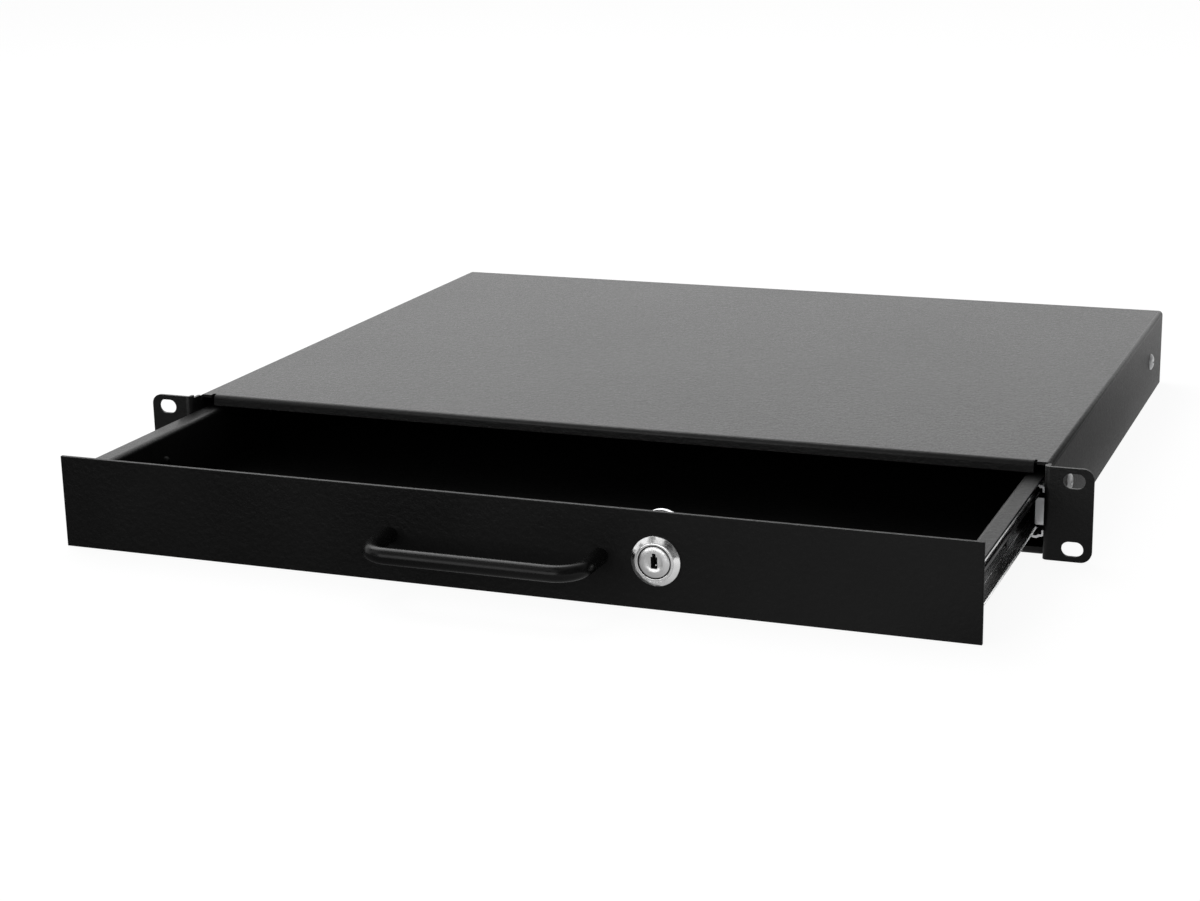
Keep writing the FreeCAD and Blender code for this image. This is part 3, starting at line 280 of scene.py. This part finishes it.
def powder_coat(name, dark, light, rough, grain, gloss, droop=0.0):
    """Black powder coat: an even skin of fused grains with a faint orange peel under them.

    droop is the slope down and outwards that springback leaves on the tray's rims.
    """
    material = bpy.data.materials.new(name)
    shader = Shader(material)
    patches = shader.noise(COAT_PATCHES, 3.0)
    specks = shader.noise(COAT_SPECKS, 2.0)
    peel = shader.noise(COAT_PEEL, 1.0)
    colour = shader.mix(shader.spread(patches, *MIDDLE), dark, light)
    uneven = shader.math("ADD", shader.math("MULTIPLY", specks, 0.9),
                         shader.math("MULTIPLY", patches, 0.1))
    dulled = shader.spread(uneven, *MIDDLE, rough - 0.05, rough + 0.05)
    fine = shader.bump(specks, SPECK_DEPTH * grain)
    skin = shader.bump(peel, PEEL_DEPTH * grain, normal=fine)
    if droop:
        across = shader.node("ShaderNodeSeparateXYZ", Vector=shader.place()).outputs["X"]
        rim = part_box("drawer_tray")[1][0] - RIM_WIDTH
        past = shader.math("SUBTRACT", shader.math("ABSOLUTE", across), rim)
        fall = shader.math("MULTIPLY", shader.math("MAXIMUM", past, 0.0), -droop)
        skin = shader.bump(fall, 1.0, normal=skin)
    finish_material(shader, Base_Color=colour, Roughness=dulled, Normal=skin,
                    Specular_IOR_Level=gloss)
    return material


def bright_metal(name, dark, light, rough, lines=0.33, waves=0.0, rubbed=None):
    """Plated or polished metal with faint blotches, fine drawn lines and uneven polish.

    rubbed is a painted highlight: the colour given to faces that look up.
    """
    material = bpy.data.materials.new(name)
    shader = Shader(material)
    drawn = shader.node("ShaderNodeMapping", Vector=shader.place(), Scale=DRAWN_LINES)
    streaks = shader.noise(METAL_LINES, 2.0, vector=drawn.outputs[0])
    blotches = shader.noise(METAL_BLOTCHES, 3.0)
    colour = shader.mix(shader.spread(blotches, *MOST), dark, light)
    # Painted highlight: faces that look up take the bright colour.
    if rubbed:
        up = shader.node("ShaderNodeSeparateXYZ",
                         Vector=shader.node("ShaderNodeNewGeometry").outputs["Normal"])
        colour = shader.mix(shader.spread(up.outputs["Z"], *LOOKS_UP), colour, rubbed)
    dulled = shader.spread(streaks, *MOST, rough * 0.8, rough * 1.25)
    skin = shader.bump(streaks, LINE_DEPTH * lines)
    if waves:
        skin = shader.bump(shader.noise(METAL_WAVES, 1.0), WAVE_DEPTH * waves, normal=skin)
    finish_material(shader, Base_Color=colour, Metallic=1.0, Roughness=dulled, Normal=skin)
    return material


def rubber(name):
    material = bpy.data.materials.new(name)
    shader = Shader(material)
    grain = shader.noise(RUBBER_GRAIN, 2.0)
    colour = shader.mix(shader.noise(RUBBER_PATCHES), rgba(0.012), rgba(0.02))
    finish_material(shader, Base_Color=colour, Roughness=0.75,
                    Normal=shader.bump(grain, GRAIN_DEPTH))
    return material


def make_materials():
    coat = rgba(0.0040), rgba(0.0055)
    handle = rgba(0.0045), rgba(0.0055)
    zinc = rgba(0.78, 0.79, 0.80), rgba(0.90)
    dark_zinc = rgba(0.04, 0.04, 0.044), rgba(0.055)
    oxide = rgba(0.004), rgba(0.006)
    chrome = rgba(0.80), rgba(0.95)
    nickel = rgba(0.62), rgba(0.80)
    steel = rgba(0.62), rgba(0.68)
    strip = rgba(0.42), rgba(0.50)
    return {
        "housing": powder_coat("housing_coat", *coat, rough=0.42, grain=1.0, gloss=0.25),
        "tray": powder_coat("tray_coat", *coat, rough=0.42, grain=1.0, gloss=0.15, droop=0.12),
        "panel": powder_coat("panel_coat", *coat, rough=0.45, grain=1.5, gloss=0.12),
        "handle": powder_coat("handle_coat", *handle, rough=0.24, grain=0.10, gloss=0.15),
        "zinc": bright_metal("zinc_plate", *zinc, rough=0.36, lines=1.33),
        # The inner slides: dark zinc, with a painted highlight on the faces that look up.
        "dark_zinc": bright_metal("dark_zinc", *dark_zinc, rough=0.25, lines=0.03,
                                  rubbed=rgba(0.90)),
        "black": bright_metal("black_oxide", *oxide, rough=0.45),
        "chrome": bright_metal("chrome_plate", *chrome, rough=0.20, waves=1.4),
        "nickel": bright_metal("satin_nickel", *nickel, rough=0.36, lines=0.83, waves=1.0),
        "steel": bright_metal("ball_steel", *steel, rough=0.12),
        "strip": bright_metal("cage_strip", *strip, rough=0.35, lines=1.33),
        "rubber": rubber("bumper_rubber"),
        # Painted shade: near-black faces in the lock's key slot and in the gap round its plug,
        # where there is only shade.
        "void": rubber("dark_recess"),
    }


# Nodes by name, without their side.  What isn't listed is zinc plated.
NODE_MATERIALS = {
    "housing_shell": "housing", "bottom_pan": "housing", "rear_panel": "housing",
    "lock_strike": "housing", "drawer_tray": "tray", "front_panel": "panel",
    "bow_handle": "handle", "ball_cage": "strip", "slide_bumper": "rubber",
    "slide_inner": "dark_zinc",
}
# Rounding of the sheets' cut edges, in millimetres.
SOFT_EDGES = {
    "housing_shell": 0.25, "bottom_pan": 0.25, "rear_panel": 0.25, "drawer_tray": 0.2,
    "front_panel": 0.15,
}


def base_name(name):
    return name.replace("_left", "").replace("_right", "")


# Metres, and degrees between faces.
WELD_WITHIN, FLAT_WITHIN, EDGE_OVER = 0.00001, 0.5, 50.0


def soften(node, width):
    """Rounds a sheet's cut edges, so they catch the light."""
    weld = node.modifiers.new("weld", "WELD")
    weld.merge_threshold = WELD_WITHIN
    merge = node.modifiers.new("merge", "DECIMATE")
    merge.decimate_type = "DISSOLVE"
    merge.angle_limit = math.radians(FLAT_WITHIN)
    bevel = node.modifiers.new("edges", "BEVEL")
    bevel.width = width * MM
    bevel.segments = 2
    bevel.limit_method = "ANGLE"
    bevel.angle_limit = math.radians(EDGE_OVER)
    bevel.use_clamp_overlap = True
    bevel.harden_normals = True


def dress_nodes(materials):
    """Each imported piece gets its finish."""
    for name, node in NODES.items():
        base = base_name(name)
        node.data.materials.clear()
        node.data.materials.append(materials[NODE_MATERIALS.get(base, "zinc")])
        if base in SOFT_EDGES:
            soften(node, SOFT_EDGES[base])


# ---------------------------------------------------------------- detail pieces

TURN_SIDES = 96


def turned(profile, sides=TURN_SIDES, shape=None):
    """A closed body of revolution round Z through (radius, height) points.

    shape may move a point (x, y, z), such as onto a flat.
    """
    made = bmesh.new()
    rings = []
    for radius, height in profile:
        steps = sides if radius > 0 else 1
        ring = []
        for side in range(steps):
            turn = 2 * math.pi * side / sides
            point = Vector((radius * math.cos(turn), radius * math.sin(turn), height))
            ring.append(made.verts.new(shape(point) if shape else point))
        rings.append(ring)
    for first, second in zip(rings, rings[1:] + ([] if len(rings[0]) == 1 else rings[:1])):
        for side in range(sides):
            after = (side + 1) % sides
            corners = [first[side % len(first)], first[after % len(first)],
                       second[after % len(second)], second[side % len(second)]]
            corners = [c for index, c in enumerate(corners) if c not in corners[:index]]
            if len(corners) > 2:
                made.faces.new(corners)
    bmesh.ops.recalc_face_normals(made, faces=made.faces)
    return made


def drawn_in(point, scale):
    """The point moved towards the Z axis."""
    return Vector((point.x * scale, point.y * scale, point.z))


def groove(point, pitch):
    """The depth of a screw thread at the point, from 0 on its crest to 1 at its root."""
    turns = point.z / pitch - math.atan2(point.y, point.x) / (2 * math.pi)
    return abs(2 * (turns % 1.0) - 1)


# Thread of the small screws and the studs: radius, pitch, depth, and its depth at both ends as a
# share of the full one.
SMALL_THREAD, SMALL_PITCH, SMALL_DEPTH, RUN_OUT = 2.0 * MM, 0.7 * MM, 0.3 * MM, 0.4
BAR_SIDES, STEPS_PER_TURN = 32, 6
# Radius and height of a small head and of a head on the housing's walls.
SMALL_HEAD, SMALL_HEIGHT = 3.8 * MM, 2.4 * MM
WALL_HEAD, WALL_HEIGHT = 4.5 * MM, 2.0 * MM
HEAD_SIDES, HEAD_RINGS = 64, 14
# Edge and dome of a head, as shares of its height.
HEAD_EDGE, HEAD_DOME = 0.22, 0.75
# How far a cross recess reaches, as a share of the head's radius and on the handle's screws, half
# the width of its arms as a share of that, and the depth at their ends as a share of the height.
CROSS_REACH, HANDLE_CROSS, CROSS_HALF, CROSS_FLOOR = 0.55, 2.1 * MM, 0.22, 0.1


def thread_bar(length):
    """A small screw's thread along Z: a bar rolled with a helix."""
    steps = int(length / SMALL_PITCH * STEPS_PER_TURN)
    profile = [(0.0, 0.0)] + [(SMALL_THREAD, length * step / steps)
                              for step in range(steps + 1)] + [(0.0, length)]

    def helix(point):
        if point.x == 0.0 and point.y == 0.0:
            return point
        edge = min(1.0, point.z / SMALL_PITCH, (length - point.z) / SMALL_PITCH)
        fall = SMALL_DEPTH * (groove(point, SMALL_PITCH) * edge + RUN_OUT * (1 - edge))
        return drawn_in(point, 1 - fall / SMALL_THREAD)
    return turned(profile, BAR_SIDES, helix)


def screw_head(radius, height, cross):
    """A domed head on Z = 0 with a cross recess."""
    edge = height * HEAD_EDGE
    profile = [(0.0, 0.0), (radius, 0.0), (radius, edge)]
    for step in range(1, HEAD_RINGS + 1):
        share = 1 - step / HEAD_RINGS
        profile.append((radius * share, height * (1 - HEAD_DOME * share ** 3)))

    def recess(point):
        if point.z <= edge:
            return point
        near, far = sorted((abs(point.x), abs(point.y)))
        if near < cross * CROSS_HALF and far < cross:
            point.z -= height * HEAD_DOME * (1 - far / cross) + height * CROSS_FLOOR
        return point
    return turned(profile, HEAD_SIDES, recess)


def screw(radius, height, cross, length, way, *seat):
    """A screw's head and thread.  The head stands on its seat and looks that way."""
    back = tuple(-step for step in way)
    return [(screw_head(radius, height, cross), along(way, *seat)),
            (thread_bar(length), along(back, *seat))]


def joined(parts):
    """One mesh of several bmeshes, each with its place."""
    whole = bmesh.new()
    for part, place in parts:
        mesh = bpy.data.meshes.new("part")
        part.to_mesh(mesh)
        mesh.transform(place)
        whole.from_mesh(mesh)
        bpy.data.meshes.remove(mesh)
    return whole


def along(axis, x, y, z):
    """Places a piece at (x, y, z), its own Z along the axis."""
    return Matrix.Translation((x, y, z)) @ Vector(axis).to_track_quat("Z", "Y").to_matrix().to_4x4()


# Degrees between faces that meet in a sharp edge.
SHARP_OVER = 35.0


def piece(name, made, material, slot, body, *nodes, recess=None, deep=None):
    """A smooth shaded piece.  Faces whose middle is deep get the recess material, which is painted
    shade.
    """
    mesh = bpy.data.meshes.new(name)
    made.to_mesh(mesh)
    made.free()
    mesh.materials.append(material)
    if recess:
        mesh.materials.append(recess)
    for face in mesh.polygons:
        face.use_smooth = True
        face.material_index = 1 if deep and deep(face.center) else 0
    made_object = bpy.data.objects.new(name, mesh)
    bpy.context.scene.collection.objects.link(made_object)
    mesh.set_sharp_from_angle(angle=math.radians(SHARP_OVER))
    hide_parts(*nodes)
    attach(made_object, body)


def middle(low, high):
    return (low + high) / 2


def spaced(first, last, count):
    return [first + (last - first) * index / (count - 1) for index in range(count)]


def make_side_screws(materials):
    """Wall screws outside the housing and tray screws inside the tray, on both sides."""
    for side, out in (("left", -1), ("right", 1)):
        for kind, way, body, material, slot, radius, height, count in (
                ("wall", out, "housing", "zinc", "zinc_plate", WALL_HEAD, WALL_HEIGHT, 2),
                ("tray", -out, "drawer", "black", "dark_zinc", SMALL_HEAD, SMALL_HEIGHT, 3)):
            node = kind + "_screws_" + side
            low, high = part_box(node)
            top, tip = (high[0], low[0]) if way > 0 else (low[0], high[0])
            seat = top - way * height
            z = middle(low[2], high[2])
            parts = []
            for y in spaced(low[1] + radius, high[1] - radius, count):
                parts += screw(radius, height, radius * CROSS_REACH, abs(seat - tip),
                               (way, 0, 0), seat, y, z)
            piece("screws_" + kind + "_" + side, joined(parts), materials[material], slot, body,
                  node)


def make_handle_screws(materials):
    low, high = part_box("handle_screws")
    z = middle(low[2], high[2])
    seat = high[1] - SMALL_HEIGHT
    parts = []
    for x in (low[0] + SMALL_HEAD, high[0] - SMALL_HEAD):
        parts += screw(SMALL_HEAD, SMALL_HEIGHT, HANDLE_CROSS, seat - low[1], (0, 1, 0),
                       x, seat, z)
    piece("screws_handle", joined(parts), materials["zinc"], "zinc_plate", "drawer",
          "handle_screws")


# The nuts' width over their flats and bore radius, and how far from the middle the inner studs are.
NUT_FLATS, NUT_BORE, NUT_SIDES = 7.0 * MM, 2.02 * MM, 72
INNER_STUD = 120.0 * MM


def hexagon(flats, bore, height):
    """A chamfered hexagon nut on Z = 0."""
    half = flats / 2
    corner = half / math.cos(math.radians(30))
    chamfer = (corner - half) * 0.6
    mouth = 0.3 * MM

    def six(point):
        radius = math.hypot(point.x, point.y)
        if radius <= bore * 1.2:
            return point
        turn = math.atan2(point.y, point.x) % math.radians(60) - math.radians(30)
        return drawn_in(point, min(1.0, half / math.cos(turn) / radius))
    profile = [(bore, mouth), (bore * 1.1, 0.0), (half * 0.98, 0.0), (corner, chamfer),
               (corner, height - chamfer), (half * 0.98, height), (bore * 1.1, height),
               (bore, height - mouth)]
    return turned(profile, NUT_SIDES, six)


def make_studs(materials):
    """Weld studs on the panel's back and their nuts inside the tray."""
    low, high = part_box("panel_studs")
    nut_low, nut_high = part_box("panel_nuts")
    z = middle(low[2], high[2])
    outer = high[0] - SMALL_THREAD
    studs, nuts = [], []
    for x in (-outer, -INNER_STUD, INNER_STUD, outer):
        studs.append((thread_bar(high[1] - low[1]), along((0, 1, 0), x, low[1], z)))
        nuts.append((hexagon(NUT_FLATS, NUT_BORE, nut_high[1] - nut_low[1]),
                     along((0, 1, 0), x, nut_low[1], z)))
    piece("studs", joined(studs), materials["zinc"], "zinc_plate", "drawer", "panel_studs")
    piece("nuts", joined(nuts), materials["zinc"], "zinc_plate", "drawer", "panel_nuts")


BALLS_PER_ROW = 6


def make_balls(materials):
    """Two rows of balls in each slide's cage."""
    for side in ("left", "right"):
        low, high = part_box("balls_" + side)
        radius = (high[0] - low[0]) / 2
        x = middle(low[0], high[0])
        parts = []
        for z in (low[2] + radius, high[2] - radius):
            for y in spaced(low[1] + radius, high[1] - radius, BALLS_PER_ROW):
                ball = bmesh.new()
                bmesh.ops.create_uvsphere(ball, u_segments=24, v_segments=14, radius=radius)
                parts.append((ball, Matrix.Translation((x, y, z))))
        piece("steel_balls_" + side, joined(parts), materials["steel"], "ball_steel",
              "cage_" + side, "balls_" + side)


def cut_away(base, tool):
    """base without tool, both bmeshes."""
    objects = []
    for made in (base, tool):
        mesh = bpy.data.meshes.new("cut")
        made.to_mesh(mesh)
        made.free()
        made_object = bpy.data.objects.new("cut", mesh)
        bpy.context.scene.collection.objects.link(made_object)
        objects.append(made_object)
    minus = objects[0].modifiers.new("minus", "BOOLEAN")
    minus.operation = "DIFFERENCE"
    minus.solver = "EXACT"
    minus.object = objects[1]
    shape = objects[0].evaluated_get(bpy.context.evaluated_depsgraph_get())
    result = bmesh.new()
    result.from_mesh(shape.to_mesh())
    shape.to_mesh_clear()
    for made_object in objects:
        mesh = made_object.data
        bpy.data.objects.remove(made_object)
        bpy.data.meshes.remove(mesh)
    return result


# The lock, by radius: the clearance round its plug, its barrel, half the width over the barrel's
# flats, and the bezel's face.  The thread starts a little behind the panel's front.
PLUG_GAP, BARREL, BARREL_FLAT, LOCK_FACE = 0.06 * MM, 9.0 * MM, 7.8 * MM, 8.8 * MM
LOCK_PITCH, LOCK_DEPTH, THREAD_START = 1.0 * MM, 0.35 * MM, 0.5 * MM
# The key slot: half widths of its wide and narrow part, its ends, where it narrows, and its depth.
SLOT_HALF, NECK_HALF = 1.5 * MM, 0.8 * MM
SLOT_LOW, SLOT_HIGH, SLOT_NECK, SLOT_DEPTH = -2.7 * MM, 4.1 * MM, 2.5 * MM, 12.0 * MM
# The pin in the slot: its radius, and how far right, up and in it is.
PIN, PIN_RIGHT, PIN_UP, PIN_IN = 0.45 * MM, 0.75 * MM, -1.2 * MM, 1.0 * MM
SQUARE_HALF = 4.0 * MM
# Faces of the key slot that are coloured near black as painted shade: how far from the axis, below
# the plug's face and behind the panel's front they are, and how near the pin they end.  Then how
# near the plug's and the bore's radius the faces of the gap that get painted shade are.
DARK_RADIUS, DARK_BELOW, DARK_BEHIND, PIN_NEAR = 5.0 * MM, 0.6 * MM, 6.0 * MM, 0.6 * MM
PLUG_EDGE, BORE_EDGE = 0.15 * MM, 0.3 * MM


def lock_body(bore, bezel, height, length):
    """The bezel and the threaded barrel behind it, with the panel's front on Z = 0."""
    # Millimetres outwards from a radius, and down from the front or up from the panel.
    mouth = [(0.0, 1.2), (0.0, 0.55), (0.28, 0.05), (0.42, 0.0)]
    ring = [(-0.62, 0.0), (-0.5, 0.05), (-0.42, 0.32), (-0.22, 0.32), (-0.12, 0.12), (0.0, 0.1)]
    foot = [(-0.25, 1.0), (-0.05, 0.8), (0.0, 0.6), (0.0, 0.0)]
    steps = int(length / LOCK_PITCH * STEPS_PER_TURN)
    profile = [(bore + out * MM, height - down * MM) for out, down in mouth]
    profile += [(LOCK_FACE + out * MM, height - down * MM) for out, down in ring]
    profile += [(bezel + out * MM, up * MM) for out, up in foot]
    profile += [(BARREL, -length * step / steps) for step in range(steps + 1)]
    profile += [(bore, -length)]

    def cut(point):
        if point.z > -THREAD_START or math.hypot(point.x, point.y) <= BARREL * 0.95:
            return point
        point = drawn_in(point, 1 - LOCK_DEPTH * groove(point, LOCK_PITCH) / BARREL)
        point.x = max(-BARREL_FLAT, min(BARREL_FLAT, point.x))
        return point
    return turned(profile, TURN_SIDES, cut)


def key_slot(top):
    """What the key slot takes out of the plug, whose face is at the top."""
    above = 1.0 * MM
    outline = [(-SLOT_HALF, SLOT_LOW), (SLOT_HALF, SLOT_LOW), (SLOT_HALF, SLOT_NECK),
               (NECK_HALF, SLOT_NECK), (NECK_HALF, SLOT_HIGH), (-NECK_HALF, SLOT_HIGH),
               (-NECK_HALF, SLOT_NECK), (-SLOT_HALF, SLOT_NECK)]
    made = bmesh.new()
    wall = made.faces.new([made.verts.new((a, b, top + above)) for a, b in outline])
    for item in bmesh.ops.extrude_face_region(made, geom=[wall])["geom"]:
        if isinstance(item, bmesh.types.BMVert):
            item.co.z -= SLOT_DEPTH + above
    bmesh.ops.recalc_face_normals(made, faces=made.faces)
    return made


def lock_plug(plug, top, shoulder):
    """The plug: a domed face with a dished middle, and its key slot."""
    # Radius, and millimetres down from the top.
    dish = [(0.0, 0.42), (2.6, 0.42), (3.2, 0.36), (3.7, 0.16), (4.1, 0.04), (4.6, 0.0),
            (5.4, 0.06), (6.2, 0.22), (6.75, 0.42)]
    profile = [(radius * MM, top - drop * MM) for radius, drop in dish]
    profile += [(plug - 0.12 * MM, top - 0.75 * MM), (plug, top - 1.1 * MM), (plug, shoulder),
                (0.0, shoulder)]
    return cut_away(turned(profile), key_slot(top))


def make_lock(materials):
    """The lock's bezel and threaded barrel, and the plug that turns in them."""
    low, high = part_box("lock_barrel")
    plug_low, plug_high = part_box("lock_plug")
    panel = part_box("front_panel")[0][1]
    x, z = middle(low[0], high[0]), middle(low[2], high[2])
    place = along((0, -1, 0), x, panel, z)
    plug = (plug_high[0] - plug_low[0]) / 2
    bore = plug + PLUG_GAP

    def gap(point):
        """The gap round the plug, coloured near black as painted shade."""
        radius = math.hypot(point.x - x, point.z - z)
        return point.y < panel and radius < bore + BORE_EDGE
    body = lock_body(bore, (high[0] - low[0]) / 2, panel - low[1], high[1] - panel)
    piece("lock_body", joined([(body, place)]), materials["chrome"], "lock_chrome", "drawer",
          "lock_barrel", recess=materials["void"], deep=gap)

    # Heights over the panel of the plug's face, its shoulder at the cam, and its foot.
    top = panel - plug_low[1]
    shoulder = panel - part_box("lock_cam")[0][1]
    foot = panel - plug_high[1]
    square = bmesh.new()
    bmesh.ops.create_cube(square, size=1.0)
    square.transform(Matrix.Translation((0, 0, middle(shoulder, foot)))
                     @ Matrix.Diagonal((2 * SQUARE_HALF, 2 * SQUARE_HALF, shoulder - foot, 1)))
    pin = bmesh.new()
    bmesh.ops.create_uvsphere(pin, u_segments=20, v_segments=12, radius=PIN)
    pin_place = place @ Matrix.Translation((PIN_RIGHT, PIN_UP, top - PIN_IN))

    def inside(point):
        """The key slot's walls and the plug's edge in the gap, coloured near black as painted
        shade.
        """
        radius = math.hypot(point.x - x, point.z - z)
        below = point.y - plug_low[1]
        in_slot = radius < DARK_RADIUS and below > DARK_BELOW and point.y < panel + DARK_BEHIND
        near_pin = (point - pin_place.translation).length < PIN_NEAR
        in_gap = radius > plug - PLUG_EDGE and point.y < panel
        return (in_slot and not near_pin) or in_gap
    core = joined([(lock_plug(plug, top, shoulder), place), (square, place), (pin, pin_place)])
    piece("lock_core", core, materials["nickel"], "lock_chrome", "lock_rotor", "lock_plug",
          recess=materials["void"], deep=inside)


make_camera()
make_world()
make_floor()
make_lights()
MATERIALS = make_materials()
dress_nodes(MATERIALS)
make_side_screws(MATERIALS)
make_handle_screws(MATERIALS)
make_studs(MATERIALS)
make_balls(MATERIALS)
make_lock(MATERIALS)

view = bpy.context.scene.view_settings
view.view_transform = "Standard"
